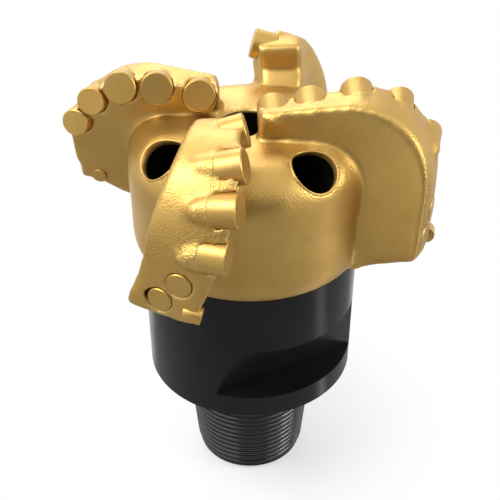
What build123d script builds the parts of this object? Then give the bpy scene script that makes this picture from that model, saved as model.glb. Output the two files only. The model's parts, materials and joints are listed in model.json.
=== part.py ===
from build123d import *
from math import cos, degrees, radians, sin, tan
import os

# Fixed-cutter (PDC) drill bit, stood on its pin with the cutting face up.
# Origin: centre of the shank's shoulder face. +Z runs up the bit's axis to the
# cutting face. Seen from above, every cutter face looks counter-clockwise.
# All sizes in millimetres and all angles in degrees. Heights in the crown are
# measured from its foot, which sits on the shank's top face.

# Shank and pin
shank_radius = 66.0
shank_height = 90.0
shank_edge_chamfer = 2.5
spigot_radius = 36.0
spigot_height = 22.0
spigot_chamfer = 2.0
pin_base_radius = 42.0
pin_end_radius = 35.3
pin_length = 79.0
pin_end_chamfer = 3.0
waterway_radius = 16.0
waterway_chamfer = 2.0

# Breaker slots: one straight slot on each side of the shank
slot_flat_distance = 44.0
slot_bottom = 17.0
slot_height = 36.0
slot_azimuth = -60.0

# Hub of the crown
hub_radius = 71.0
hub_base_radius = 66.0
hub_base_flare = 12.0
hub_height = 79.0
hub_corner_radius = 23.0

# Waterways in the crown
plenum_radius = 26.0
plenum_height = 42.0
port_radius = 13.3
port_seat_depth = 15.0
port_way_radius = 10.5
port_way_end_reach = 14.0
port_ring_radius = 55.5
port_height = 69.5
port_elevation = 50.0
port_azimuth = -54.5
port_count = 4
centre_port_radius = 16.5
centre_port_offset = -1.0

# Cutting profile, shared by the four blades: a cone, then a nose arc, then the gauge
gauge_radius = 107.95
nose_radius = 44.0
nose_centre_height = 59.4
cone_angle = 11.0

# Thickness of a blade behind the radial plane: at the axis, halfway out, and at the
# gauge, where the back leans forward from the crown's foot to the crest
blade_root_thickness = 27.0
blade_middle_reach = 50.0
blade_foot_middle = 32.0
blade_crest_middle = 31.0
blade_outer_setback = 8.0
blade_foot_outer = 75.0
blade_crest_outer = 44.0

# Leading face: near the radial plane at the nose, and swept back towards the heel
lead_offset = 4.0
lead_sweep_start = 102.0
lead_sweep_radius = 300.0
lead_lean = 7.0

# How far cutting shapes run past what they cut
cut_overrun = 3.0

# Cutters
cutter_radius = 9.2
shoulder_cutter_radius = 8.0
cutter_length = 15.0
cutter_edge_chamfer = 0.6
cutter_back_rake = 16.0
cutter_inset = 3.3
cutter_proud = 3.0
pocket_tail_length = 8.0
pocket_tip_radius = 1.5

# Up-drill cutters at the heel of each blade
heel_cutter_radius = 7.0
heel_cutter_length = 13.0
heel_cutter_inset = 6.2
heel_cutter_lift = 3.0
heel_cutter_proud = 1.6
heel_cutter_angle = -45.0

# Gauge buttons, flush in the gauge pad
button_radius = 7.0
button_length = 9.0
button_proud = 0.3
button_edge_chamfer = 0.5
button_azimuths = (-19.5, -25.6)
button_lifts = (23.0, 11.0)

# Blades: name, azimuth, how far the blade reaches inside its first cutter, height of
# its heel, drop of its underside from the gauge to the hub, number of smaller shoulder
# cutters, and its cutters' distances along the profile, inwards from the gauge
BLADES = (
    ("a", 180.0, 10.8, 31.0, 7.0, 2, (99.9, 75.6, 54.7, 35.0, 16.7)),
    ("b", 270.0, 10.8, 14.5, 14.0, 0, (79.9, 44.5, 21.7, -3.0)),
    ("c", 0.0, 8.4, 20.0, 19.0, 2, (115.9, 94.8, 68.8, 43.4, 17.3)),
    ("d", 90.0, 20.0, 20.0, 16.0, 0, (57.9, 36.9, 16.0, -10.0)),
)

UP = (Align.CENTER, Align.CENTER, Align.MIN)
DOWN = (Align.CENTER, Align.CENTER, Align.MAX)

os.makedirs("parts", exist_ok=True)


def at_azimuth(shape, azimuth):
    """Turn a shape about the bit's axis."""
    return Rot(0, 0, azimuth) * shape


def nose_centre():
    """Centre of the nose arc in the (radius, height) half-plane."""
    return gauge_radius - nose_radius, shank_height + nose_centre_height


def crown_top():
    """Height of the cutting profile's highest point."""
    return shank_height + nose_centre_height + nose_radius


def profile_point(station, inset):
    """Point at a distance along the cutting profile, and the profile's outward angle."""
    centre_r, centre_z = nose_centre()
    reach = nose_radius - inset
    join = radians(90 + cone_angle)
    if station < 0:
        return (centre_r + reach, centre_z + station), 0.0
    if station < reach * join:
        angle = station / reach
        return (centre_r + reach * cos(angle), centre_z + reach * sin(angle)), degrees(angle)
    beyond = station - reach * join
    slope = radians(cone_angle)
    r = centre_r + reach * cos(join) - beyond * cos(slope)
    z = centre_z + reach * sin(join) - beyond * sin(slope)
    return (r, z), 90 + cone_angle


def lead_face_offset(height):
    """How far the leading face lies behind the radial plane at a height."""
    drop = max(0.0, shank_height + lead_sweep_start - height)
    lean = sin(radians(lead_lean)) + drop / lead_sweep_radius
    return lead_offset + lead_sweep_radius * (cos(radians(lead_lean)) - (1 - lean**2) ** 0.5)


def shank():
    """Black shank: shoulder, breaker slots, spigot into the crown, tapered pin, waterway."""
    spigot_top = shank_height + spigot_height
    outline = Polyline(
        (0, -pin_length),
        (pin_end_radius - pin_end_chamfer, -pin_length),
        (pin_end_radius, -pin_length + pin_end_chamfer),
        (pin_base_radius, 0),
        (shank_radius - shank_edge_chamfer, 0),
        (shank_radius, shank_edge_chamfer),
        (shank_radius, shank_height),
        (spigot_radius, shank_height),
        (spigot_radius, spigot_top - spigot_chamfer),
        (spigot_radius - spigot_chamfer, spigot_top),
        (0, spigot_top),
        close=True,
    )
    body = revolve(Plane.XZ * make_face(outline), Axis.Z)
    body -= Pos(0, 0, -pin_length) * Cylinder(waterway_radius, pin_length + spigot_top, align=UP)
    mouth = Cone(waterway_radius + waterway_chamfer, waterway_radius, waterway_chamfer, align=UP)
    body -= Pos(0, 0, -pin_length) * mouth
    slot = Box(
        shank_radius - slot_flat_distance + cut_overrun,
        2 * shank_radius,
        slot_height,
        align=(Align.MIN, Align.CENTER, Align.MIN),
    )
    for side in (0, 180):
        body -= at_azimuth(Pos(slot_flat_distance, 0, slot_bottom) * slot, slot_azimuth + side)
    return body


def hub():
    """Body of revolution that carries the blades, with a flared foot and a rounded crown."""
    top = shank_height + hub_height
    shoulder = top - hub_corner_radius
    corner = hub_radius - hub_corner_radius
    diagonal = hub_corner_radius * sin(radians(45))
    flare_top = shank_height + hub_base_flare
    flare_middle = hub_radius - 0.3 * (hub_radius - hub_base_radius)
    edge = [
        Line((0, shank_height), (hub_base_radius, shank_height)),
        ThreePointArc(
            (hub_base_radius, shank_height),
            (flare_middle, shank_height + hub_base_flare / 2),
            (hub_radius, flare_top),
        ),
        Line((hub_radius, flare_top), (hub_radius, shoulder)),
        ThreePointArc(
            (hub_radius, shoulder),
            (corner + diagonal, shoulder + diagonal),
            (corner, top),
        ),
        Line((corner, top), (0, top)),
        Line((0, top), (0, shank_height)),
    ]
    return revolve(Plane.XZ * make_face(Wire(edge)), Axis.Z)


def blade_profile(inner, heel, underside):
    """Revolved outline of a blade: cone, nose arc, gauge, and the sloped underside."""
    start = inner / 2
    centre_r, centre_z = nose_centre()
    diagonal = nose_radius * sin(radians(45))
    cone_end, _ = profile_point(nose_radius * radians(90 + cone_angle), 0)
    cone_foot = (start, cone_end[1] - (cone_end[0] - start) * tan(radians(cone_angle)))
    heel_z = shank_height + heel
    root = hub_radius - hub_corner_radius
    root_z = heel_z - underside * (gauge_radius - root) / (gauge_radius - hub_radius)
    inside = shank_height + hub_height - hub_corner_radius
    edge = [
        Line(cone_foot, cone_end),
        ThreePointArc(cone_end, (centre_r + diagonal, centre_z + diagonal), (gauge_radius, centre_z)),
        Line((gauge_radius, centre_z), (gauge_radius, heel_z)),
        Line((gauge_radius, heel_z), (root, root_z)),
        Line((root, root_z), (root, inside)),
        Line((root, inside), (start, inside)),
        Line((start, inside), cone_foot),
    ]
    return revolve(Plane.XZ * make_face(Wire(edge)), Axis.Z)


def plan_outline(middle, outer):
    """Plan of a blade at one height: its back bows out from the axis to the gauge."""
    reach = gauge_radius + cut_overrun
    bend = gauge_radius - blade_outer_setback
    far = outer + reach - bend
    edge = [
        Line((-blade_root_thickness, 0), (reach, 0)),
        Line((reach, 0), (reach, -far)),
        Line((reach, -far), (bend, -outer)),
        ThreePointArc((bend, -outer), (blade_middle_reach, -middle), (0, -blade_root_thickness)),
        Line((0, -blade_root_thickness), (-blade_root_thickness, -blade_root_thickness)),
        Line((-blade_root_thickness, -blade_root_thickness), (-blade_root_thickness, 0)),
    ]
    return make_face(Wire(edge))


def blade_plan():
    """Column over a blade's plan, from the crown's foot to past its crest."""
    foot = Pos(0, 0, shank_height) * plan_outline(blade_foot_middle, blade_foot_outer)
    crest = Pos(0, 0, crown_top() + cut_overrun) * plan_outline(blade_crest_middle, blade_crest_outer)
    return loft([foot, crest], ruled=True)


def blade_side(inner):
    """Side of a blade, whose leading edge sweeps back towards the heel."""
    high = crown_top() + 2 * cut_overrun
    start = shank_height + lead_sweep_start
    low = shank_height - cut_overrun
    middle = (start + low) / 2
    wide = gauge_radius + cut_overrun
    edge = [
        Line((-lead_offset, high), (-lead_offset, start)),
        ThreePointArc(
            (-lead_offset, start),
            (-lead_face_offset(middle), middle),
            (-lead_face_offset(low), low),
        ),
        Line((-lead_face_offset(low), low), (-wide, low)),
        Line((-wide, low), (-wide, high)),
        Line((-wide, high), (-lead_offset, high)),
    ]
    return Pos(inner, 0, 0) * extrude(Plane.YZ * make_face(Wire(edge)), wide - inner)


def blade(inner, heel, underside):
    """One blade along +X, with its leading face towards +Y."""
    return blade_profile(inner, heel, underside) & blade_side(inner) & blade_plan()


def cutter_place(place, normal_angle, proud):
    """Plane whose origin is a cutter face's centre and whose +Z leaves that face."""
    r, z = place
    tilt = radians(cutter_back_rake)
    outward = Vector(cos(radians(normal_angle)), 0, sin(radians(normal_angle)))
    return Plane(
        origin=Vector(r, proud - lead_face_offset(z), z),
        x_dir=outward * cos(tilt) - Vector(0, 1, 0) * sin(tilt),
        z_dir=Vector(0, 1, 0) * cos(tilt) + outward * sin(tilt),
    )


def cutter(radius, length):
    """Round cutter whose face is at z = 0, looking along +Z."""
    blank = Cylinder(radius, length, align=DOWN)
    return chamfer(blank.edges().filter_by(GeomType.CIRCLE), cutter_edge_chamfer)


def pocket(radius):
    """Seat of a face cutter, with the pointed tail that the milling cutter leaves."""
    seat = Cylinder(radius, cutter_length, align=DOWN)
    tail = Cone(pocket_tip_radius, radius, pocket_tail_length, align=DOWN)
    return seat + Pos(0, 0, -cutter_length) * tail


def button():
    """Gauge button along +X, whose crown stands a hair proud of the gauge."""
    blank = Cylinder(button_radius, button_length, align=DOWN)
    domed = chamfer(blank.edges().filter_by(GeomType.CIRCLE).sort_by(Axis.Z)[-1], button_edge_chamfer)
    return Pos(gauge_radius + button_proud, 0, 0) * (Rot(0, 90, 0) * domed)


def slanted_port():
    """Tool for one port: a wide seat for the nozzle and a narrower way to the plenum."""
    seat = Pos(0, 0, -port_seat_depth) * Cylinder(port_radius, port_seat_depth + hub_corner_radius, align=UP)
    run = (port_ring_radius - port_way_end_reach) / cos(radians(port_elevation))
    way = Cylinder(port_way_radius, run, align=DOWN)
    return Pos(port_ring_radius, 0, shank_height + port_height) * (Rot(0, 90 - port_elevation, 0) * (seat + way))


def centre_port():
    """Tool for the port in the middle of the hub."""
    foot = plenum_height - cut_overrun
    column = Cylinder(centre_port_radius, hub_height - foot, align=UP)
    return Pos(centre_port_offset, 0, shank_height + foot) * column


def crown():
    """Gold body in one piece: hub, blades, socket for the spigot, plenum and ports."""
    body = hub()
    for name, azimuth, margin, heel, underside, small, stations in BLADES:
        (first, _), _ = profile_point(stations[0], cutter_inset)
        body += at_azimuth(blade(first - margin, heel, underside), azimuth)
    body -= Pos(0, 0, shank_height) * Cylinder(spigot_radius, spigot_height, align=UP)
    body -= Pos(0, 0, shank_height) * Cylinder(plenum_radius, plenum_height, align=UP)
    for count in range(port_count):
        body -= at_azimuth(slanted_port(), port_azimuth + 360 / port_count * count)
    return body - centre_port()


def build():
    """Make every sub-part and return them by name."""
    nodes = {"shank": shank()}
    body = crown()
    for name, azimuth, margin, heel, underside, small, stations in BLADES:
        for count, station in enumerate(stations, 1):
            radius = shoulder_cutter_radius if count > len(stations) - small else cutter_radius
            point, angle = profile_point(station, cutter_inset)
            plane = cutter_place(point, angle, cutter_proud)
            body -= at_azimuth(plane * pocket(radius), azimuth)
            nodes[f"cutter_{name}{count}"] = at_azimuth(plane * cutter(radius, cutter_length), azimuth)
        heel_z = shank_height + heel
        heel_point = (gauge_radius - heel_cutter_inset, heel_z + heel_cutter_lift)
        plane = cutter_place(heel_point, heel_cutter_angle, heel_cutter_proud)
        heel_cutter = at_azimuth(plane * cutter(heel_cutter_radius, heel_cutter_length), azimuth)
        body -= heel_cutter
        nodes[f"heel_cutter_{name}"] = heel_cutter
        for count, (turn, lift) in enumerate(zip(button_azimuths, button_lifts), 1):
            seated = Pos(0, 0, heel_z + lift) * at_azimuth(button(), azimuth + turn)
            body -= seated
            nodes[f"gauge_button_{name}{count}"] = seated
    nodes["bit_body"] = body
    return nodes


for node, solid in build().items():
    export_step(solid, f"parts/{node}.step")
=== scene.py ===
# %% [markdown]
# A fixed-cutter drill bit, stood on its pin. The frame from the CAD gives every
# piece its place. The steel crown, its round cutters and gauge buttons are under
# gold metallic paint, and the shank and its tapered pin are under black paint.
# The frame comes first, because every later size is read from it.

# %% Load the frame
import bpy
import bmesh
import json
import math
import numpy as np
from mathutils import Matrix, Vector, noise
from mathutils.bvhtree import BVHTree

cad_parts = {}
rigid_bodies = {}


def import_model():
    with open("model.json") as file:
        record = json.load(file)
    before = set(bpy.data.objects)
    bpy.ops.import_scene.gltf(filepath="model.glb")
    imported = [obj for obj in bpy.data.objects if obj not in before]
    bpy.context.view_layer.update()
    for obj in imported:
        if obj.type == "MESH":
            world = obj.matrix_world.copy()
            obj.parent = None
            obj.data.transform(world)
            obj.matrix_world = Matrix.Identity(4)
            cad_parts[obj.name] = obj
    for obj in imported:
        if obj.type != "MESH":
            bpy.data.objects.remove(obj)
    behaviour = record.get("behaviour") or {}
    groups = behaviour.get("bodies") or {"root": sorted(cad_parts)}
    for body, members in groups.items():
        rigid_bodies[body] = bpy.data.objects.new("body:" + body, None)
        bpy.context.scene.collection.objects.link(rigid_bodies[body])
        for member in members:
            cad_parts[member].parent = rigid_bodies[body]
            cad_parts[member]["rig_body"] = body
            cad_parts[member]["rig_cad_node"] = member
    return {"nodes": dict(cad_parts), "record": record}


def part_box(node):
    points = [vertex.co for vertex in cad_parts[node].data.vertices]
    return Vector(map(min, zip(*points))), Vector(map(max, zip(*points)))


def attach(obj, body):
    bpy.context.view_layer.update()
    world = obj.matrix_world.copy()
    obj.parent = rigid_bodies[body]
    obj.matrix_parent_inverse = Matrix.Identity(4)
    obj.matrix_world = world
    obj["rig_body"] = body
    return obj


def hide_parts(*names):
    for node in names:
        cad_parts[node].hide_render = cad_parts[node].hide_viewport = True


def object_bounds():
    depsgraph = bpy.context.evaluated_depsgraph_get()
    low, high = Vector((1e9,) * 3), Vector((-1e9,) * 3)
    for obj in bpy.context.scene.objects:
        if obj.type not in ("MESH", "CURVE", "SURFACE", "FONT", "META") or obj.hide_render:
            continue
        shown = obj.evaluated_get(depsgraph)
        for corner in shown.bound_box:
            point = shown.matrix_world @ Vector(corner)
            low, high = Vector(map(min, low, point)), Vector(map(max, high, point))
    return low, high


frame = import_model()
cad_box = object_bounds()
nodes = frame["nodes"]
record = frame["record"]
print("pieces in the frame:", len(nodes))

# %% [markdown]
# The default cube and lamp would show in the picture, so they go. Three helpers
# keep the later cells short. They clear the selection before an operator runs,
# make a single piece both selected and active, and finish its modifiers.

# %% Clean scene and helpers
for extra in [o for o in bpy.data.objects if o.type in {"LIGHT", "CAMERA"} or o.name == "Cube"]:
    bpy.data.objects.remove(extra)


def deselect_all():
    for other in bpy.context.view_layer.objects:
        other.select_set(False)


def make_active(piece):
    deselect_all()
    piece.select_set(True)
    bpy.context.view_layer.objects.active = piece


def apply_all_modifiers(piece):
    make_active(piece)
    for modifier in list(piece.modifiers):
        bpy.ops.object.modifier_apply(modifier=modifier.name)


# %% [markdown]
# The tails, the port lips and the thread all follow a line that no primitive
# follows, so each is a row of rings with a skin over it. The first and the last
# ring are capped, or the last is joined to the first.

# %% Rings and skins


def placed(name, mesh):
    """A new piece from a mesh, linked into the scene."""
    piece = bpy.data.objects.new(name, mesh)
    bpy.context.scene.collection.objects.link(piece)
    return piece


def skinned(name, rings, looped=False):
    """A closed skin over a row of rings, capped at its ends or looped into itself."""
    body = bmesh.new()
    rings = [[body.verts.new(place) for place in ring] for ring in rings]
    pairs = list(zip(rings, rings[1:]))
    if looped:
        pairs.append((rings[-1], rings[0]))
    for near, far in pairs:
        for count in range(len(near)):
            following = (count + 1) % len(near)
            body.faces.new((near[count], near[following], far[following], far[count]))
    if not looped:
        body.faces.new(rings[0])
        body.faces.new(reversed(rings[-1]))
    bmesh.ops.recalc_face_normals(body, faces=body.faces)
    mesh = bpy.data.meshes.new(name)
    body.to_mesh(mesh)
    body.free()
    return placed(name, mesh)


# %% [markdown]
# The camera stands a little over half a metre away and looks down on the bit,
# so that the far blades show over the near one. A short tele lens keeps the
# crown only a little larger than the shank.

# %% Camera
CAMERA_ELEVATION = math.radians(34.04)
CAMERA_DISTANCE = 0.553
CAMERA_LENS = 63.5
CAMERA_SENSOR = 36
CAMERA_CLIP = 0.01
AIM_HEIGHT = 0.0807

aim = Vector((0, 0, AIM_HEIGHT))
back = Vector((0, -math.cos(CAMERA_ELEVATION), math.sin(CAMERA_ELEVATION)))
bpy.ops.object.camera_add(location=aim + back * CAMERA_DISTANCE)
camera = bpy.context.object
camera.rotation_euler = (-back).to_track_quat("-Z", "Y").to_euler()
camera.data.lens = CAMERA_LENS
camera.data.sensor_width = CAMERA_SENSOR
camera.data.clip_start = CAMERA_CLIP
bpy.context.scene.camera = camera
bpy.context.scene.view_settings.view_transform = "Standard"
print("camera at", tuple(round(v, 3) for v in camera.location))

# %% [markdown]
# The studio is white. A soft world lights the paint from all sides, while the
# camera and the shiny metal see plain white. The Light Path node makes that
# split, so a white background puts no extra light on the bit.

# %% World
WORLD_STRENGTH = 0.42
WORLD_TINT = (1.0, 0.98, 0.95, 1)

world = bpy.data.worlds.new("studio")
bpy.context.scene.world = world
world.use_nodes = True
wn = world.node_tree.nodes
wl = world.node_tree.links
wn.clear()
world_out = wn.new("ShaderNodeOutputWorld")
soft = wn.new("ShaderNodeBackground")
soft.inputs["Color"].default_value = WORLD_TINT
soft.inputs["Strength"].default_value = WORLD_STRENGTH
white = wn.new("ShaderNodeBackground")
white.inputs["Color"].default_value = (1, 1, 1, 1)
white.inputs["Strength"].default_value = 1.0
rays = wn.new("ShaderNodeLightPath")
either = wn.new("ShaderNodeMath")
either.operation = "MAXIMUM"
any_seen = wn.new("ShaderNodeMath")
any_seen.operation = "MAXIMUM"
choose = wn.new("ShaderNodeMixShader")
wl.new(rays.outputs["Is Camera Ray"], either.inputs[0])
wl.new(rays.outputs["Is Glossy Ray"], either.inputs[1])
wl.new(either.outputs[0], any_seen.inputs[0])
wl.new(rays.outputs["Is Transmission Ray"], any_seen.inputs[1])
wl.new(any_seen.outputs[0], choose.inputs["Fac"])
wl.new(soft.outputs[0], choose.inputs[1])
wl.new(white.outputs[0], choose.inputs[2])
wl.new(choose.outputs[0], world_out.inputs["Surface"])
print("world strength:", WORLD_STRENGTH)

# %% [markdown]
# Three soft lamps give the metal its shape. The key lamp, high on the left,
# draws the broad highlights on the gold. A weaker one behind lifts the far
# edges, and a small one lights the blades on the right.

# %% Lamps
# Each row: name, place, size, power
LAMPS = (
    ("key_lamp", (-0.55, -0.30, 0.95), 0.5, 9.5),
    ("back_lamp", (-0.15, 0.85, 0.80), 0.7, 5.0),
    ("right_lamp", (0.95, -0.30, 0.60), 0.4, 4.5),
)
LAMP_TARGET = Vector((0, 0, 0.1))

for name, place, size, power in LAMPS:
    bpy.ops.object.light_add(type="AREA", location=place)
    lamp = bpy.context.object
    lamp.name = name
    lamp.data.shape = "RECTANGLE"
    lamp.data.size = size
    lamp.data.size_y = size
    lamp.data.energy = power
    lamp.rotation_euler = (LAMP_TARGET - Vector(place)).to_track_quat("-Z", "Y").to_euler()
print("lamps:", len(LAMPS))

# %% [markdown]
# A studio keeps black card near shiny metal, so that the metal has something
# dark to mirror. These cards only show in reflections: the camera, the lamps
# and the shadows pass through them.

# %% Black cards
# Each row: name, place, width, height
CARDS = (
    ("front_card", (0.1, -1.15, 0.30), 1.2, 1.0),
    ("right_card", (1.1, -0.25, 0.10), 0.5, 0.7),
)
CARD_TARGET = Vector((0, 0, 0.08))
CARD_BLACK = (0.01, 0.01, 0.01, 1)


def only_mirrored(card):
    """Show a card in reflections and nowhere else."""
    card.visible_camera = False
    card.visible_diffuse = False
    card.visible_transmission = False
    card.visible_shadow = False


black_card = bpy.data.materials.new("black card")
black_card.use_nodes = True
black_card.node_tree.nodes["Principled BSDF"].inputs["Base Color"].default_value = CARD_BLACK
for name, place, width, height in CARDS:
    bpy.ops.mesh.primitive_plane_add(size=1, location=place)
    card = bpy.context.object
    card.name = name
    card.scale = (width, height, 1)
    card.rotation_euler = (CARD_TARGET - Vector(place)).to_track_quat("-Z", "Y").to_euler()
    card.data.materials.append(black_card)
    only_mirrored(card)
print("black cards:", len(CARDS))

# %% [markdown]
# The upright walls of the shank mirror the floor. Two sheets of grey card lie
# there, so that the black paint stays dark, and a bright strip in the gap
# between them draws one upright streak on the shank.

# %% Floor cards
# Each row: name, and the sector that it covers, in degrees round from the camera
FLOOR_CARDS = (("floor_card_front", -118, 68), ("floor_card_right", 77, 128))
FLOOR_CARD_REACH = 0.90
FLOOR_CARD_STEPS = 24
FLOOR_CARD_GLOW = 0.50
FLOOR_CARD_LIFT = 0.0002
STREAK_SECTOR = (68.0, 76.5)
STREAK_REACH = (0.10, 0.90)
STREAK_GLOW = 2.2
STREAK_LIFT = 0.0010


def glowing(name, strength):
    """A plain glow that no lamp changes."""
    material = bpy.data.materials.new(name)
    material.use_nodes = True
    tree = material.node_tree
    tree.nodes.clear()
    shine = tree.nodes.new("ShaderNodeEmission")
    shine.inputs["Strength"].default_value = strength
    surface = tree.nodes.new("ShaderNodeOutputMaterial")
    tree.links.new(shine.outputs["Emission"], surface.inputs["Surface"])
    return material


def on_floor(degrees, reach, lift):
    """A place on the floor, by its angle round from the camera."""
    angle = math.radians(degrees)
    return reach * math.sin(angle), -reach * math.cos(angle), cad_box[0][2] + lift


def lay_card(name, outline, material):
    sheet = bpy.data.meshes.new(name)
    sheet.from_pydata(outline, [], [tuple(range(len(outline)))])
    sheet.materials.append(material)
    only_mirrored(placed(name, sheet))


grey_card = glowing("grey card", FLOOR_CARD_GLOW)
for name, start, end in FLOOR_CARDS:
    fan = [on_floor(0, 0, FLOOR_CARD_LIFT)]
    for step in range(FLOOR_CARD_STEPS + 1):
        degrees = start + (end - start) * step / FLOOR_CARD_STEPS
        fan.append(on_floor(degrees, FLOOR_CARD_REACH, FLOOR_CARD_LIFT))
    lay_card(name, fan, grey_card)
start, end = STREAK_SECTOR
near, far = STREAK_REACH
corners = ((start, near), (end, near), (end, far), (start, far))
strip = [on_floor(degrees, reach, STREAK_LIFT) for degrees, reach in corners]
lay_card("streak_card", strip, glowing("streak card", STREAK_GLOW))
print("floor cards:", len(FLOOR_CARDS) + 1)

# %% [markdown]
# The floor is a pale sheet that the pin stands on. The camera and the metal see
# it as plain white, and only round the pin does a share of it take the bit's
# soft shadow. The share fades with the distance from the bit.

# %% Floor
FLOOR_REACH = 6.0
FLOOR_DROP = 0.0002
FLOOR_WHITE = (0.93, 0.93, 0.93, 1)
SHADOW_SHARE = 0.42
SHADOW_START = 0.04
SHADOW_REACH = 0.16

bpy.ops.mesh.primitive_plane_add(size=FLOOR_REACH, location=(0, 0, cad_box[0][2] - FLOOR_DROP))
floor = bpy.context.object
floor.name = "floor"
floor_paint = bpy.data.materials.new("studio floor")
floor_paint.use_nodes = True
fn = floor_paint.node_tree.nodes
fl = floor_paint.node_tree.links
fn.clear()
floor_out = fn.new("ShaderNodeOutputMaterial")
matt = fn.new("ShaderNodeBsdfDiffuse")
matt.inputs["Color"].default_value = FLOOR_WHITE
glow = fn.new("ShaderNodeEmission")
glow.inputs["Color"].default_value = (1, 1, 1, 1)
floor_rays = fn.new("ShaderNodeLightPath")
floor_either = fn.new("ShaderNodeMath")
floor_either.operation = "MAXIMUM"
floor_place = fn.new("ShaderNodeTexCoord")
floor_distance = fn.new("ShaderNodeVectorMath")
floor_distance.operation = "LENGTH"
shadow_fade = fn.new("ShaderNodeMapRange")
shadow_fade.interpolation_type = "SMOOTHSTEP"
shadow_fade.inputs["From Min"].default_value = SHADOW_START
shadow_fade.inputs["From Max"].default_value = SHADOW_REACH
shadow_fade.inputs["To Min"].default_value = 1 - SHADOW_SHARE
shadow_fade.inputs["To Max"].default_value = 1.0
share = fn.new("ShaderNodeMath")
share.operation = "MULTIPLY"
floor_mix = fn.new("ShaderNodeMixShader")
fl.new(floor_rays.outputs["Is Camera Ray"], floor_either.inputs[0])
fl.new(floor_rays.outputs["Is Glossy Ray"], floor_either.inputs[1])
fl.new(floor_place.outputs["Object"], floor_distance.inputs[0])
fl.new(floor_distance.outputs["Value"], shadow_fade.inputs["Value"])
fl.new(floor_either.outputs[0], share.inputs[0])
fl.new(shadow_fade.outputs["Result"], share.inputs[1])
fl.new(share.outputs[0], floor_mix.inputs["Fac"])
fl.new(matt.outputs[0], floor_mix.inputs[1])
fl.new(glow.outputs[0], floor_mix.inputs[2])
fl.new(floor_mix.outputs[0], floor_out.inputs["Surface"])
floor.data.materials.append(floor_paint)
print("floor level:", round(cad_box[0][2] - FLOOR_DROP, 4))

# %% [markdown]
# Every paint here was sprayed, so the look of a sprayed coat is one node group
# that all the materials share. It puts out the height of the orange peel with
# its dust, and a slow cloud by which colour and gloss drift.

# %% Sprayed coat
PEEL_SIZE = 260
DUST_SIZE = 1400
DUST_SHARE = 0.5
CLOUD_SIZE = 38


def group_socket(tree, name, kind, direction, value=None):
    socket = tree.interface.new_socket(name=name, in_out=direction, socket_type=kind)
    if value is not None:
        socket.default_value = value
    return socket


spray = bpy.data.node_groups.new("Sprayed coat", "ShaderNodeTree")
group_socket(spray, "Peel size", "NodeSocketFloat", "INPUT", PEEL_SIZE)
group_socket(spray, "Dust size", "NodeSocketFloat", "INPUT", DUST_SIZE)
group_socket(spray, "Dust share", "NodeSocketFloat", "INPUT", DUST_SHARE)
group_socket(spray, "Height", "NodeSocketFloat", "OUTPUT")
group_socket(spray, "Cloud", "NodeSocketFloat", "OUTPUT")
sn = spray.nodes
sl = spray.links
spray_in = sn.new("NodeGroupInput")
spray_out = sn.new("NodeGroupOutput")
coords = sn.new("ShaderNodeTexCoord")
peel = sn.new("ShaderNodeTexNoise")
peel.inputs["Detail"].default_value = 3
dust = sn.new("ShaderNodeTexNoise")
dust.inputs["Detail"].default_value = 2
cloud = sn.new("ShaderNodeTexNoise")
cloud.inputs["Scale"].default_value = CLOUD_SIZE
cloud.inputs["Detail"].default_value = 4
blend_dust = sn.new("ShaderNodeMix")
sl.new(coords.outputs["Object"], peel.inputs["Vector"])
sl.new(coords.outputs["Object"], dust.inputs["Vector"])
sl.new(coords.outputs["Object"], cloud.inputs["Vector"])
sl.new(spray_in.outputs["Peel size"], peel.inputs["Scale"])
sl.new(spray_in.outputs["Dust size"], dust.inputs["Scale"])
sl.new(spray_in.outputs["Dust share"], blend_dust.inputs["Factor"])
sl.new(peel.outputs["Fac"], blend_dust.inputs["A"])
sl.new(dust.outputs["Fac"], blend_dust.inputs["B"])
sl.new(blend_dust.outputs["Result"], spray_out.inputs["Height"])
sl.new(cloud.outputs["Fac"], spray_out.inputs["Cloud"])
print("nodes in the sprayed coat:", len(sn))

# %% [markdown]
# The crown will carry masks, one value per point. Edges are lighter, from wear
# and from a painted highlight; corners are darker, from painted shade and a
# little grime; hardfacing is gritty; and the ports are bare inside and darkened
# by painted shade. These helpers read a mask and let it change the colour or the
# grain. A piece without masks reads them as zero.

# %% What the masks do
GRIT_SIZE = 900
GRIT_DEPTH = 0.0008


def mask_of(tree, name):
    """A value that the piece carries at each of its points."""
    reader = tree.nodes.new("ShaderNodeAttribute")
    reader.attribute_name = name
    return reader.outputs["Fac"]


def toned(tree, colour, mask, tone):
    """Drift from a colour to a tone by a mask."""
    mix = tree.nodes.new("ShaderNodeMix")
    mix.data_type = "RGBA"
    mix.inputs["B"].default_value = (*tone, 1)
    tree.links.new(mask, mix.inputs["Factor"])
    tree.links.new(colour, mix.inputs["A"])
    return mix.outputs["Result"]


def gritty(tree, normal):
    """The rough grain of hardfacing, where the grain mask calls for it."""
    place = tree.nodes.new("ShaderNodeTexCoord")
    grit = tree.nodes.new("ShaderNodeTexNoise")
    grit.inputs["Scale"].default_value = GRIT_SIZE
    grit.inputs["Detail"].default_value = 3
    relief = tree.nodes.new("ShaderNodeBump")
    relief.inputs["Distance"].default_value = GRIT_DEPTH
    tree.links.new(place.outputs["Object"], grit.inputs["Vector"])
    tree.links.new(mask_of(tree, "grain"), relief.inputs["Strength"])
    tree.links.new(grit.outputs["Fac"], relief.inputs["Height"])
    tree.links.new(normal, relief.inputs["Normal"])
    return relief.outputs["Normal"]


# %% [markdown]
# A paint is a base tone that drifts to a deeper one, with the sprayed coat's
# height as its bump. Only a metallic paint listens to the masks.

# %% How a paint is made
# The first tone darkens corners with painted shade and a little grime, the second lightens edges
# with wear and a painted highlight, and the third is painted shade inside the ports, over bare
# steel.
GOLD_SHADE_AND_GRIME = (0.20, 0.11, 0.03)
GOLD_WEAR_AND_SHEEN = (0.86, 0.66, 0.30)
BARE_PORT_SHADE = (0.004, 0.0035, 0.003)
GLOSS_DRIFT = (-0.06, 0.10)
COAT_ROUGHNESS = 0.25
PEEL_DEPTH = 0.0004


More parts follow.
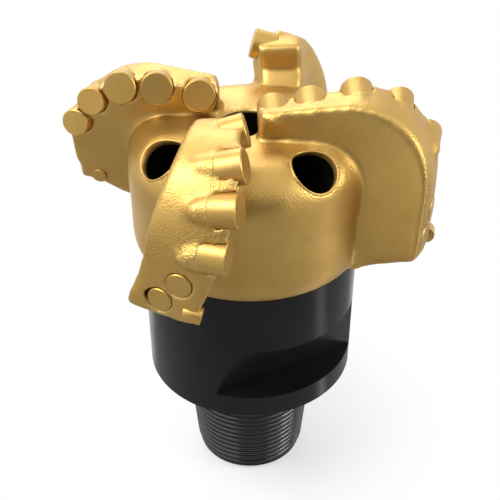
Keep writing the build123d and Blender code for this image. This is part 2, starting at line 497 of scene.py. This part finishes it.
def painted(name, base, deep, roughness, bump, metallic=0.0, specular=0.5, coat=0.0):
    """A sprayed paint whose colour drifts between two tones."""
    material = bpy.data.materials.new(name)
    material.use_nodes = True
    tree = material.node_tree
    mn = tree.nodes
    ml = tree.links
    shader = mn["Principled BSDF"]
    shader.inputs["Specular IOR Level"].default_value = specular
    shader.inputs["Coat Weight"].default_value = coat
    shader.inputs["Coat Roughness"].default_value = COAT_ROUGHNESS
    sprayed = mn.new("ShaderNodeGroup")
    sprayed.node_tree = spray
    tones = mn.new("ShaderNodeMix")
    tones.data_type = "RGBA"
    tones.inputs["A"].default_value = (*base, 1)
    tones.inputs["B"].default_value = (*deep, 1)
    ml.new(sprayed.outputs["Cloud"], tones.inputs["Factor"])
    colour = tones.outputs["Result"]
    gloss = mn.new("ShaderNodeMapRange")
    gloss.inputs["To Min"].default_value = roughness + GLOSS_DRIFT[0]
    gloss.inputs["To Max"].default_value = roughness + GLOSS_DRIFT[1]
    ml.new(sprayed.outputs["Cloud"], gloss.inputs["Value"])
    relief = mn.new("ShaderNodeBump")
    relief.inputs["Strength"].default_value = bump
    relief.inputs["Distance"].default_value = PEEL_DEPTH
    ml.new(sprayed.outputs["Height"], relief.inputs["Height"])
    normal = relief.outputs["Normal"]
    if metallic:
        # Painted shade goes into corners and into the ports, and a painted highlight lies on the
        # edges with their wear.
        colour = toned(tree, colour, mask_of(tree, "shade_and_grime"), GOLD_SHADE_AND_GRIME)
        colour = toned(tree, colour, mask_of(tree, "wear_and_sheen"), GOLD_WEAR_AND_SHEEN)
        colour = toned(tree, colour, mask_of(tree, "port_shade"), BARE_PORT_SHADE)
        flakes = mn.new("ShaderNodeMapRange")
        flakes.inputs["To Min"].default_value = metallic
        flakes.inputs["To Max"].default_value = 0.0
        ml.new(mask_of(tree, "port_shade"), flakes.inputs["Value"])
        ml.new(flakes.outputs["Result"], shader.inputs["Metallic"])
        normal = gritty(tree, normal)
    ml.new(colour, shader.inputs["Base Color"])
    ml.new(gloss.outputs["Result"], shader.inputs["Roughness"])
    ml.new(normal, shader.inputs["Normal"])
    return material


# %% [markdown]
# The gold is fine metal flakes in a satin binder, so it is a rough metal, with
# no second, glassy reflection over it. The black is a smooth dark paint, and on
# the thread it lies under a film of oil, which the coat stands for.

# %% Gold and black
gold = painted(
    "gold paint", (0.64, 0.42, 0.13), (0.45, 0.27, 0.07), 0.40, 0.45, metallic=0.90, specular=0.0
)
black = painted(
    "black paint", (0.005, 0.005, 0.006), (0.010, 0.010, 0.011), 0.22, 0.10, specular=0.2
)
thread_black = painted(
    "black thread", (0.003, 0.003, 0.003), (0.005, 0.005, 0.005), 0.15, 0.10, coat=1.0
)


def dress(piece, material):
    piece.data.materials.clear()
    piece.data.materials.append(material)


for name, node in nodes.items():
    dress(node, black if name == "shank" else gold)
print("dressed:", len(nodes))

# %% [markdown]
# The cutters' places aren't written down a second time. A cutter's box in the
# frame gives its centre, and the blade's direction, the place along the nose
# and the back rake give its axis. Its radius follows from the box's width.

# %% Where the cutters sit
BLADE_AZIMUTH = {"a": 180, "b": 270, "c": 0, "d": 90}
BACK_RAKE = math.radians(16)
CUTTER_LENGTH = 0.015
NOSE_CENTRE = (0.06395, 0.1494)
CONE_TURN = math.radians(101)


def cutter_frame(name):
    """Face centre, axis, outward direction, tangent and radius of a face cutter."""
    low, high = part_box(name)
    centre = (Vector(low) + Vector(high)) / 2
    azimuth = math.radians(BLADE_AZIMUTH[name[-2]])
    radial = Vector((math.cos(azimuth), math.sin(azimuth), 0))
    tangent = Vector((-radial.y, radial.x, 0))
    reach = centre.dot(radial) - NOSE_CENTRE[0]
    rise = centre.z - NOSE_CENTRE[1]
    turn = 0.0 if rise < 0 else min(CONE_TURN, math.atan2(rise, reach))
    outward = radial * math.cos(turn) + Vector((0, 0, math.sin(turn)))
    axis = tangent * math.cos(BACK_RAKE) + outward * math.sin(BACK_RAKE)
    width = abs((Vector(high) - Vector(low)).dot(radial))
    across = math.sqrt(max(0.0, 1 - axis.dot(radial) ** 2))
    radius = (width - CUTTER_LENGTH * abs(axis.dot(radial))) / (2 * across)
    return centre + axis * CUTTER_LENGTH / 2, axis, outward, tangent, radius


face_cutters = {n: cutter_frame(n) for n in nodes if n.startswith("cutter_")}
for name, (face, axis, outward, tangent, radius) in sorted(face_cutters.items()):
    print(name, "radius", round(radius * 1000, 2))

# %% [markdown]
# Each face cutter is brazed into a milled pocket. Behind the cutter the pocket
# is filled up with hardfacing, which leaves a short sleeve round the cutter and
# a pointed tail, like a sharpened pencil lying in the blade. One row of rings,
# from the sleeve to the point, makes them all.

# %% Sleeves and tails
PENCIL_SIDES = 40
SLEEVE_START = 0.0125
SLEEVE_STEP = 0.0006
SLEEVE_INSET = 0.0010
SLEEVE_GROWTH = 0.0006
# Each row: distance behind the face, share of the cutter's radius, outward shift
TAIL_ROWS = (
    (0.0160, 1.02, 0.0000),
    (0.0185, 0.86, 0.0010),
    (0.0215, 0.66, 0.0024),
    (0.0245, 0.44, 0.0038),
    (0.0270, 0.24, 0.0048),
    (0.0285, 0.08, 0.0052),
)


def pencil(name):
    """A sleeve round the back of a cutter, and the tail behind it."""
    face, axis, outward, tangent, radius = face_cutters[name]
    side = axis.cross(outward).normalized()
    lift = side.cross(axis).normalized()
    rear = face - axis * CUTTER_LENGTH
    rows = [
        (face - axis * SLEEVE_START, radius - SLEEVE_INSET),
        (face - axis * (SLEEVE_START + SLEEVE_STEP), radius + SLEEVE_GROWTH),
    ]
    for back_by, share, shift in TAIL_ROWS:
        centre = rear - tangent * (back_by - CUTTER_LENGTH) + outward * shift
        rows.append((centre, radius * share))
    rings = []
    for centre, size in rows:
        ring = []
        for count in range(PENCIL_SIDES):
            angle = 2 * math.pi * count / PENCIL_SIDES
            ring.append(centre + (side * math.cos(angle) + lift * math.sin(angle)) * size)
        rings.append(ring)
    return skinned("pencil", rings)


pencils = [pencil(name) for name in sorted(face_cutters)]
print("sleeves and tails:", len(pencils))

# %% [markdown]
# Three kinds of round rod are needed next. Each starts as a cylinder, may get
# its ends bevelled, and is then turned and moved inside its own mesh, so that
# the object itself stays at the origin.

# %% A round rod
ROD_SIDES = 48
ROD_CREASE = math.radians(35)


def rod(name, centre, way, radius, length, bevel):
    """A round rod, made at its place. With a bevel its ends are softened."""
    bpy.ops.mesh.primitive_cylinder_add(vertices=ROD_SIDES, radius=radius, depth=length)
    piece = bpy.context.object
    piece.name = name
    if bevel:
        soften = piece.modifiers.new("soft ends", "BEVEL")
        soften.width = bevel
        soften.segments = 3
        soften.limit_method = "ANGLE"
        apply_all_modifiers(piece)
        bpy.ops.object.shade_smooth_by_angle(angle=ROD_CREASE)
    turn = Vector(way).to_track_quat("Z", "Y").to_matrix().to_4x4()
    piece.data.transform(Matrix.Translation(centre) @ turn)
    return piece


# %% [markdown]
# The up-drill cutter at each heel is almost buried. Only a small round end
# stands out of the corner of the blade, so the pocket is filled up first.

# %% Heel cutters
HEEL_FILL_RADIUS = 0.0073
HEEL_FILL_LENGTH = 0.0135
HEEL_FILL_BACK = 0.0012
HEEL_STUD_RADIUS = 0.0047
HEEL_STUD_LENGTH = 0.0100
HEEL_STUD_BEVEL = 0.0005
HEEL_STUD_AHEAD = 0.0015
HEEL_STUD_OUT = 0.0022
# How far the studs of two blades are shifted, to follow their bent heels
HEEL_SHIFT = {"a": (0.0100, 0.0, 0.0005), "b": (0.0010, 0.0014, 0.0022)}

heel_fills = []
for letter, azimuth in BLADE_AZIMUTH.items():
    low, high = (Vector(corner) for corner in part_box("heel_cutter_" + letter))
    centre = (low + high) / 2
    angle = math.radians(azimuth)
    radial = Vector((math.cos(angle), math.sin(angle), 0))
    tangent = Vector((-radial.y, radial.x, 0))
    outward = (radial - Vector((0, 0, 1))).normalized()
    axis = tangent * math.cos(BACK_RAKE) + outward * math.sin(BACK_RAKE)
    fill_at = centre - axis * HEEL_FILL_BACK
    heel_fills.append(rod("fill", fill_at, axis, HEEL_FILL_RADIUS, HEEL_FILL_LENGTH, 0))
    shift = Vector(HEEL_SHIFT.get(letter, (0, 0, 0)))
    stud_at = centre + axis * HEEL_STUD_AHEAD + outward * HEEL_STUD_OUT + shift
    stud = rod(
        "heel_stud_" + letter, stud_at, axis, HEEL_STUD_RADIUS, HEEL_STUD_LENGTH, HEEL_STUD_BEVEL
    )
    dress(stud, gold)
    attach(stud, "root")
    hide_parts("heel_cutter_" + letter)
print("heel studs:", len(BLADE_AZIMUTH))

# %% [markdown]
# The far blade's first cutter sits at the very corner of its blade, so the
# steel is built up under it: two short rods carry the leading face forward to
# the cutter's face.

# %% Shelf under the far cutter
# Each row: distance inwards from the cutter, distance behind its face
SHELF_STEPS = ((0.0068, 0.0022), (0.0150, 0.0030))
SHELF_GROWTH = 0.0004

face, axis, outward, tangent, radius = face_cutters["cutter_d1"]
shelves = []
for inward, behind in SHELF_STEPS:
    length = CUTTER_LENGTH - behind
    middle = face - axis * (behind + length / 2) - outward * inward
    shelves.append(rod("shelf", middle, axis, radius + SHELF_GROWTH, length, 0))
print("shelf rods:", len(shelves))

# %% [markdown]
# The crown was cast or milled and then painted, so none of its edges is a
# knife edge. A copy of the CAD solid is merged and joined with the tails, then
# remeshed into small even faces, which welds them into one skin. A light
# smoothing takes the stair steps of the remesh off.

# %% Crown
CROWN_VOXEL = 0.00136
LIGHT_ROUNDS = 3
SMOOTH_FACTOR = 0.5
MERGE_DISTANCE = 1e-6

crown = nodes["bit_body"].copy()
crown.data = nodes["bit_body"].data.copy()
crown.name = "crown"
crown.parent = None
bpy.context.scene.collection.objects.link(crown)
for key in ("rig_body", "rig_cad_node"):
    if key in crown:
        del crown[key]
shell = bmesh.new()
shell.from_mesh(crown.data)
bmesh.ops.remove_doubles(shell, verts=shell.verts, dist=MERGE_DISTANCE)
bmesh.ops.recalc_face_normals(shell, faces=shell.faces)
shell.to_mesh(crown.data)
shell.free()
make_active(crown)
if crown.data.has_custom_normals:
    bpy.ops.mesh.customdata_custom_splitnormals_clear()
for piece in pencils + heel_fills + shelves:
    piece.select_set(True)
bpy.ops.object.join()
grid = crown.modifiers.new("even faces", "REMESH")
grid.mode = "VOXEL"
grid.voxel_size = CROWN_VOXEL
grid.use_smooth_shade = True
round_off = crown.modifiers.new("light rounding", "SMOOTH")
round_off.factor = SMOOTH_FACTOR
round_off.iterations = LIGHT_ROUNDS
apply_all_modifiers(crown)
dress(crown, gold)
print("crown faces:", len(crown.data.polygons))

# %% [markdown]
# The next steps push the crown's points about, and each has to know where a
# point lies: how deep under the hub's round outside, how near to a cutter, a
# port or a button. These helpers measure all the points at once, as arrays.

# %% Measures on the crown
FIRST_PORT = -54.5
PORT_AZIMUTHS = [math.radians(FIRST_PORT + 90 * count) for count in range(4)]
PORT_RING = 0.0555
PORT_HEIGHT = 0.1595
PORT_TILT = math.radians(50)
PORT_RADIUS = 0.0133
CENTRE_PORT = (-0.001, 0.0)
CENTRE_PORT_RADIUS = 0.0165
HUB_RADIUS = 0.071
HUB_TOP = 0.169
HUB_CORNER = 0.023


def points_of(piece):
    flat = np.empty(len(piece.data.vertices) * 3)
    piece.data.vertices.foreach_get("co", flat)
    return flat.reshape(-1, 3)


def normals_of(piece):
    flat = np.empty(len(piece.data.vertices) * 3)
    piece.data.vertex_normals.foreach_get("vector", flat)
    return flat.reshape(-1, 3)


def move_points(piece, places):
    piece.data.vertices.foreach_set("co", places.ravel())
    piece.data.update()


def step_up(values, start, end):
    """Smooth step from 0 at start to 1 at end."""
    share = np.clip((values - start) / (end - start), 0, 1)
    return share * share * (3 - 2 * share)


def step_down(values, start, end):
    """Smooth step from 0 at start to 1 at end, where the end is the lower one."""
    return step_up(-values, -start, -end)


def line_distance(places, origin, way, back, ahead):
    """Distance from a line's stretch between back and ahead of its origin."""
    offset = places - np.array(origin)
    along = np.clip(offset @ np.array(way), -back, ahead)
    return np.linalg.norm(offset - along[:, None] * np.array(way), axis=1)


def hub_depth(places):
    """How deep a point lies under the hub's round outside."""
    radius = np.hypot(places[:, 0], places[:, 1])
    corner_r = np.maximum(radius - (HUB_RADIUS - HUB_CORNER), 0)
    corner_z = np.maximum(places[:, 2] - (HUB_TOP - HUB_CORNER), 0)
    return HUB_CORNER - np.hypot(corner_r, corner_z)


def port_line(azimuth):
    """Mouth centre and outward direction of a slanted port."""
    radial = Vector((math.cos(azimuth), math.sin(azimuth), 0))
    mouth = radial * PORT_RING + Vector((0, 0, PORT_HEIGHT))
    return mouth, radial * math.cos(PORT_TILT) + Vector((0, 0, math.sin(PORT_TILT)))


# %% [markdown]
# Strong rounding would melt the cutters' seats and the ports, so every point
# gets a share: none beside such a place, all of it further off. The share
# rises over a short band round each of them.

# %% Where edges may be rounded
FOOT_BAND = (0.0915, 0.0960)
CUTTER_BAND = (0.0012, 0.0055)
CUTTER_AHEAD = 0.004
PORT_BAND = (0.0008, 0.0050)
PORT_BACK = 0.06
PORT_AHEAD = 0.03
CENTRE_PORT_BAND = 0.0030
BUTTON_BAND = (0.0095, 0.0125)


def keep_away(places):
    """0 beside cutters, ports, buttons and the foot, 1 where edges may be rounded."""
    away = step_up(places[:, 2], *FOOT_BAND)
    for face, axis, outward, tangent, radius in face_cutters.values():
        near = line_distance(places, face, axis, CUTTER_LENGTH, CUTTER_AHEAD)
        away = np.minimum(away, step_up(near, radius + CUTTER_BAND[0], radius + CUTTER_BAND[1]))
    for azimuth in PORT_AZIMUTHS:
        mouth, way = port_line(azimuth)
        near = line_distance(places, mouth, way, PORT_BACK, PORT_AHEAD)
        clear = step_up(near, PORT_RADIUS + PORT_BAND[0], PORT_RADIUS + PORT_BAND[1])
        away = np.minimum(away, clear)
    centre = np.hypot(places[:, 0] - CENTRE_PORT[0], places[:, 1] - CENTRE_PORT[1])
    clear = step_up(centre, CENTRE_PORT_RADIUS, CENTRE_PORT_RADIUS + CENTRE_PORT_BAND)
    away = np.minimum(away, clear)
    for name in nodes:
        if name.startswith("gauge_button"):
            low, high = (np.array(corner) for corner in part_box(name))
            near = np.linalg.norm(places - (low + high) / 2, axis=1)
            away = np.minimum(away, step_up(near, *BUTTON_BAND))
    return away


print("points that may be rounded:", int((keep_away(points_of(crown)) > 0).sum()))

# %% [markdown]
# The rods that filled the heel pockets stand out of the blades a little. What
# stands out is moved back onto the blade's own faces: the gauge, the underside
# and the leading face, whose sweep is the arc of a circle.

# %% Trim of the filled heels
# For each blade: the heel's height, and how far its underside drops to the hub
HEEL_LEVEL = {"a": (0.121, 0.007), "b": (0.1045, 0.014), "c": (0.110, 0.019), "d": (0.110, 0.016)}
HEEL_REACH = 0.016
GAUGE_RADIUS = 0.10795
FACE_START = 0.192
FACE_SWEEP = 0.300
FACE_LEAN = math.radians(7)
FACE_OFFSET = 0.004


def face_offset(levels):
    """How far the leading face lies behind the radial plane at each height."""
    lean = math.sin(FACE_LEAN) + np.maximum(FACE_START - levels, 0) / FACE_SWEEP
    return FACE_OFFSET + FACE_SWEEP * (math.cos(FACE_LEAN) - np.sqrt(1 - lean**2))


def square_heel(places, letter):
    """Trim what the filled heel pocket added outside the blade's own faces."""
    angle = math.radians(BLADE_AZIMUTH[letter])
    radial = np.array((math.cos(angle), math.sin(angle), 0))
    tangent = np.array((-radial[1], radial[0], 0))
    low, high = (np.array(corner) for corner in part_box("heel_cutter_" + letter))
    near = np.linalg.norm(places - (low + high) / 2, axis=1) < HEEL_REACH
    level, underside = HEEL_LEVEL[letter]
    radius = np.hypot(places[:, 0], places[:, 1])
    over = near & (radius > GAUGE_RADIUS)
    places[over, :2] *= (GAUGE_RADIUS / radius[over])[:, None]
    radius = np.minimum(radius, GAUGE_RADIUS)
    lowest = level - underside * (GAUGE_RADIUS - radius) / (GAUGE_RADIUS - HUB_RADIUS)
    under = near & (places[:, 2] < lowest)
    places[under, 2] = lowest[under]
    ahead = places @ tangent + face_offset(places[:, 2])
    front = near & (ahead > 0)
    places[front] -= ahead[front, None] * tangent


places = points_of(crown)
for letter in HEEL_LEVEL:
    square_heel(places, letter)
move_points(crown, places)
print("heels trimmed:", len(HEEL_LEVEL))

# %% [markdown]
# The strong smoothing rounds the blades' backs and fills their roots. Its
# vertex group holds the share of each point, in ten steps.

# %% Rounded edges and filled roots
STRONG_ROUNDS = 60
SHARE_STEPS = 10

rounding = crown.vertex_groups.new(name="rounding")
away = keep_away(points_of(crown))
for level in range(1, SHARE_STEPS + 1):
    chosen = np.flatnonzero(np.round(away * SHARE_STEPS) == level).tolist()
    if chosen:
        rounding.add(chosen, level / SHARE_STEPS, "REPLACE")
strong = crown.modifiers.new("strong rounding", "SMOOTH")
strong.factor = SMOOTH_FACTOR
strong.iterations = STRONG_ROUNDS
strong.vertex_group = "rounding"
apply_all_modifiers(crown)
print("rounded with", STRONG_ROUNDS, "rounds")

# %% [markdown]
# The near blade is twisted a little: its heel trails further back than its
# nose. The points of its lower back are pushed along by a smooth share, so the
# gauge pad gets its slanted rear edge, and the points of its lower front follow
# by less.

# %% Twist of the near blade
HEEL_SWEEP = 0.0082
HEEL_RISE = 0.0030
TOE_SWEEP = 0.0036
# Turns are in degrees from the blade's own direction. Reaches are from the axis.
NEAR_TURNS = (-62, 20)
NEAR_REACH = (0.073, 0.092)
TWIST_TOP = 0.155
TWIST_HEIGHT = 0.047
TWIST_CURVE = 1.3
TRAIL_TURNS = (-27, -33)
LEAD_TURNS = (-15, -5)
LEAD_HEIGHTS = (0.142, 0.114)

places = points_of(crown)
radius = np.hypot(places[:, 0], places[:, 1])
turn = np.degrees(np.arctan2(places[:, 1], places[:, 0])) + 90
near_blade = (turn > NEAR_TURNS[0]) * (turn < NEAR_TURNS[1]) * step_up(radius, *NEAR_REACH)
drop = np.clip((TWIST_TOP - places[:, 2]) / TWIST_HEIGHT, 0, 1) ** TWIST_CURVE
trail = near_blade * step_down(turn, *TRAIL_TURNS) * drop
lead = near_blade * step_down(places[:, 2], *LEAD_HEIGHTS) * step_up(turn, *LEAD_TURNS)
places[:, 0] += TOE_SWEEP * lead - HEEL_SWEEP * trail
places[:, 2] += HEEL_RISE * trail
print("points twisted:", int((trail > 0).sum()))

# %% [markdown]
# On the left blade the underside runs down to the hub, and the heel's corner is
# cut away.

# %% Heel of the left blade
UNDERSIDE_DROP = 0.0100
UNDERSIDE_HEIGHTS = (0.140, 0.122)
UNDERSIDE_REACH = (0.104, 0.076)
CORNER_CUT = 0.0080
CORNER_HEIGHTS = (0.137, 0.120)
CORNER_REACH = (0.088, 0.104)
CORNER_TURNS = (-14, -8)
LEFT_TURNS = (-50, 12)
LEFT_START = 0.0713

turn = np.degrees(np.arctan2(-places[:, 1], -places[:, 0]))
left_blade = (turn > LEFT_TURNS[0]) * (turn < LEFT_TURNS[1]) * (radius > LEFT_START)
low = step_down(places[:, 2], *UNDERSIDE_HEIGHTS)
corner = left_blade * step_up(radius, *CORNER_REACH) * step_down(places[:, 2], *CORNER_HEIGHTS)
places[:, 2] -= UNDERSIDE_DROP * left_blade * low * step_down(radius, *UNDERSIDE_REACH)
places[:, 0] += CORNER_CUT * corner * step_up(turn, *CORNER_TURNS)
print("points of the left heel:", int((left_blade * low > 0).sum()))

# %% [markdown]
# The inner end of the far blade stands back a little, so that its first cutter
# shows its side. Only the part above the hub moves, and the share fades with
# the distance from that cutter.

# %% Inner end of the far blade
FAR_END_CUT = 0.0060
# Turns are in degrees from the cutter's own direction
FAR_TURNS = (-62, -48, 24, 34)
FAR_REACH = (0.024, 0.004)
FAR_HEIGHTS = (HUB_TOP + 0.001, HUB_TOP + 0.010)

cutter = face_cutters["cutter_d1"][0]
cutter_reach = math.hypot(cutter.x, cutter.y)
cutter_turn = math.degrees(math.atan2(cutter.y, cutter.x))
turn = np.degrees(np.arctan2(places[:, 1], places[:, 0])) - cutter_turn
far_end = step_up(turn, *FAR_TURNS[:2]) * step_down(turn, FAR_TURNS[3], FAR_TURNS[2])
far_end = far_end * step_down(radius, cutter_reach + FAR_REACH[0], cutter_reach + FAR_REACH[1])
places[:, 1] += FAR_END_CUT * far_end * step_up(places[:, 2], *FAR_HEIGHTS)
move_points(crown, places)
print("points set back:", int((far_end > 0).sum()))

# %% [markdown]
# Hardfacing and thick paint leave the surface lumpy. Each point is moved along
# its normal by a noise. The tops of the blades and their gauge are coarser, and
# the hub has a thicker band of paint at its top, with a ragged lower edge.

# %% Lumps
LUMP_SIZE = 85
LUMP_HEIGHT = 0.00022
DRIFT_SIZE = 30
TOP_EDGE = (0.0405, 0.0425)
TOP_SHARE = 0.45
GAUGE_EDGE = (0.1050, 0.1068)
GRAIN_EDGE = (0.1385, 0.1395)
GRAIN_DRIFT = 0.003
HUB_SKIN = (0.0012, 0.0004)
BAND_LEVEL = 0.131
BAND_EDGE = 0.0008
BAND_DRIFT = 0.006
BAND_HEIGHT = 0.0004
PLAIN_SHARE = 0.35
BAND_SHARE = 0.6

places = points_of(crown)
normals = normals_of(crown)
radius = np.hypot(places[:, 0], places[:, 1])
height = places[:, 2]
lump = np.array([noise.noise(Vector(p) * LUMP_SIZE) for p in places])
drift = np.array([noise.noise(Vector(p) * DRIFT_SIZE) for p in places])
away = keep_away(places)
nose = np.hypot(radius - NOSE_CENTRE[0], height - NOSE_CENTRE[1])
on_top = step_up(nose, *TOP_EDGE) * (height > NOSE_CENTRE[1])
on_gauge = step_up(radius, *GAUGE_EDGE)
above_pad = step_up(height + drift * GRAIN_DRIFT, *GRAIN_EDGE)
grain = np.maximum(TOP_SHARE * on_top, on_gauge) * above_pad
on_hub = step_down(np.abs(hub_depth(places)), *HUB_SKIN)
ragged = height + drift * BAND_DRIFT
band = on_hub * step_up(ragged, BAND_LEVEL - BAND_EDGE, BAND_LEVEL + BAND_EDGE)
coarse = PLAIN_SHARE + grain + BAND_SHARE * band
rise = LUMP_HEIGHT * lump * coarse * away + BAND_HEIGHT * band * away
move_points(crown, places + normals * rise[:, None])
print("highest lump in mm:", round(float(rise.max()) * 1000, 2))

# %% [markdown]
# The lighter edges (wear and a painted highlight) and the darker corners
# (painted shade and a little grime) come from the shape itself. A point that
# stands out from the mean of its neighbours lies on an edge, and one that lies
# below it sits in a corner.

# %% Edges and corners
SMOOTH_ROUNDS = 4


def neighbour_mean(piece, values):
    """Mean of each point's neighbours along the mesh's edges."""
    ends = np.empty(len(piece.data.edges) * 2, dtype=np.int64)
    piece.data.edges.foreach_get("vertices", ends)
    first, second = ends.reshape(-1, 2).T
    total = np.zeros_like(values)
    count = np.zeros(len(values))
    np.add.at(total, first, values[second])
    np.add.at(total, second, values[first])
    np.add.at(count, first, 1)
    np.add.at(count, second, 1)
    return total / np.maximum(count, 1)[:, None]


places = points_of(crown)
normals = normals_of(crown)
smoothed = places
for _ in range(SMOOTH_ROUNDS):
    smoothed = neighbour_mean(crown, smoothed)
ridge_height = ((places - smoothed) * normals).sum(axis=1)
print("highest edge in mm:", round(float(ridge_height.max()) * 1000, 2))

# %% [markdown]
# The paint reads four masks from the crown: edges lightened by wear and a painted
# highlight, corners darkened by painted shade and a little grime, grain, and
# painted shade inside the ports, which is found by the distance from their axes.

# %% Masks
WEAR_SHEEN_EDGE = (0.00015, 0.00060)
WEAR_SHEEN_LEAST = 0.15
WEAR_SHEEN_DRIFT = 0.3
SHADE_GRIME_EDGE = (0.00012, 0.00055)
SHADE_GRIME_SHARE = 0.75
GRAIN_SHARE = 0.75
BAND_GRAIN = 0.25
INSIDE_EDGE = (0.0146, 0.0140)
INSIDE_DEPTH = (0.0003, 0.0018)
INSIDE_BACK = 0.08
INSIDE_AHEAD = 0.04
CENTRE_INSIDE = 0.0178


def add_mask(piece, name, values):
    layer = piece.data.attributes.new(name, "FLOAT", "POINT")
    layer.data.foreach_set("value", np.clip(values, 0, 1).astype(np.float32))


# The inside of the ports is darkened with painted shade, over bare steel.
port_shade = np.zeros(len(places))
for azimuth in PORT_AZIMUTHS:
    mouth, way = port_line(azimuth)
    near = line_distance(places, mouth, way, INSIDE_BACK, INSIDE_AHEAD)
    deep = step_up(hub_depth(places), *INSIDE_DEPTH)
    port_shade = np.maximum(port_shade, step_down(near, *INSIDE_EDGE) * deep)
centre = np.hypot(places[:, 0] - CENTRE_PORT[0], places[:, 1] - CENTRE_PORT[1])
deep = step_up(HUB_TOP - places[:, 2], *INSIDE_DEPTH)
port_shade = np.maximum(port_shade, (centre < CENTRE_INSIDE) * deep)
# Edges get wear and a painted highlight, and corners get painted shade with a little grime.
patchy = WEAR_SHEEN_LEAST + WEAR_SHEEN_DRIFT * np.clip(drift + 0.5, 0, 1)
add_mask(crown, "wear_and_sheen", step_up(ridge_height, *WEAR_SHEEN_EDGE) * patchy)
add_mask(crown, "shade_and_grime", step_up(-ridge_height, *SHADE_GRIME_EDGE) * SHADE_GRIME_SHARE)
add_mask(crown, "port_shade", port_shade)
add_mask(crown, "grain", np.clip(GRAIN_SHARE * grain + BAND_GRAIN * band, 0, 1))
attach(crown, "root")
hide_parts("bit_body")
print("masks:", len(crown.data.attributes), "attributes on the crown")

# %% [markdown]
# Each port's mouth has a thin machined lip. Its line follows the curved hub, so
# rays are cast along the port's axis onto the CAD solid to find the surface.

# %% Port lips
LIP_SIDES = 96
# Each row: distance outside the port's wall, height above the hub's surface
LIP_ROWS = (
    (-0.0004, -0.0040),
    (-0.0004, 0.0001),
    (-0.0001, 0.0004),
    (0.0004, 0.0004),
    (0.0010, -0.0002),
    (0.0010, -0.0030),
)
LIP_CREASE = math.radians(50)
LIP_PROBE = 0.0008
PROBE_START = 0.04

cad_crown = nodes["bit_body"].data
solid = BVHTree.FromPolygons(
    [point.co.copy() for point in cad_crown.vertices],
    [tuple(face.vertices) for face in cad_crown.polygons],
)


def lip(name, mouth, way, radius):
    """A rounded ring round a port's mouth."""
    side = way.orthogonal().normalized()
    other = way.cross(side).normalized()
    rings = []
    for out_by, height in LIP_ROWS:
        ring = []
        for count in range(LIP_SIDES):
            angle = 2 * math.pi * count / LIP_SIDES
            spoke = side * math.cos(angle) + other * math.sin(angle)
            start = mouth + spoke * (radius + LIP_PROBE) + way * PROBE_START
            hit = solid.ray_cast(start, -way)[0]
            along = (hit - mouth).dot(way) if hit else 0.0
            ring.append(mouth + spoke * (radius + out_by) + way * (along + height))
        rings.append(ring)
    piece = skinned(name, rings, looped=True)
    make_active(piece)
    bpy.ops.object.shade_smooth_by_angle(angle=LIP_CREASE)
    dress(piece, gold)
    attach(piece, "root")
    return piece


for count, azimuth in enumerate(PORT_AZIMUTHS, 1):
    mouth, way = port_line(azimuth)
    lip(f"port_lip_{count}", mouth, way, PORT_RADIUS)
print("port lips:", len(PORT_AZIMUTHS))

# %% [markdown]
# The pin's thread is a V-shaped ridge that climbs the taper, with a rounded
# crest. One section is carried round turn by turn, and its radius follows the
# cone. At both ends the ridge runs out into the taper over one turn.

# %% Pin thread
PIN_BASE_RADIUS = 0.0412
PIN_END_RADIUS = 0.0345
PIN_LENGTH = -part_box("shank")[0][2]
THREAD_PITCH = 0.0044
THREAD_DEPTH = 0.0020
THREAD_STEPS = 96
THREAD_START = 0.004
THREAD_END = 0.075
ROOT_INSET = 0.0010
CREST_BASE = 0.0006
LOWEST_SHARE = 0.02
THREAD_CREASE = math.radians(75)


def pin_radius(drop):
    """The taper's radius at a distance below the shoulder."""
    return PIN_BASE_RADIUS + (PIN_END_RADIUS - PIN_BASE_RADIUS) * drop / PIN_LENGTH


def ridge_section(root, middle, crest):
    """The rounded V of the ridge: radius, and height as a share of the pitch."""
    return (
        (root, -0.49),
        (middle, -0.25),
        (crest, -0.07),
        (crest, 0.07),
        (middle, 0.25),
        (root, 0.49),
    )


rings = []
steps = (THREAD_END - THREAD_START) / THREAD_PITCH * THREAD_STEPS
for step in range(int(steps) + 1):
    angle = -2 * math.pi * step / THREAD_STEPS
    drop = THREAD_START + THREAD_PITCH * step / THREAD_STEPS
    run_out = min(1.0, step / THREAD_STEPS, (steps - step) / THREAD_STEPS)
    root = pin_radius(drop) - ROOT_INSET
    crest = root + CREST_BASE + THREAD_DEPTH * max(run_out, LOWEST_SHARE)
    ring = []
    for radius, shift in ridge_section(root, (root + crest) / 2, crest):
        level = -drop + shift * THREAD_PITCH
        ring.append((radius * math.cos(angle), radius * math.sin(angle), level))
    rings.append(ring)
thread = skinned("pin_thread", rings)
make_active(thread)
bpy.ops.object.shade_smooth_by_angle(angle=THREAD_CREASE)
dress(thread, thread_black)
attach(thread, "root")
print("thread rings:", len(rings))
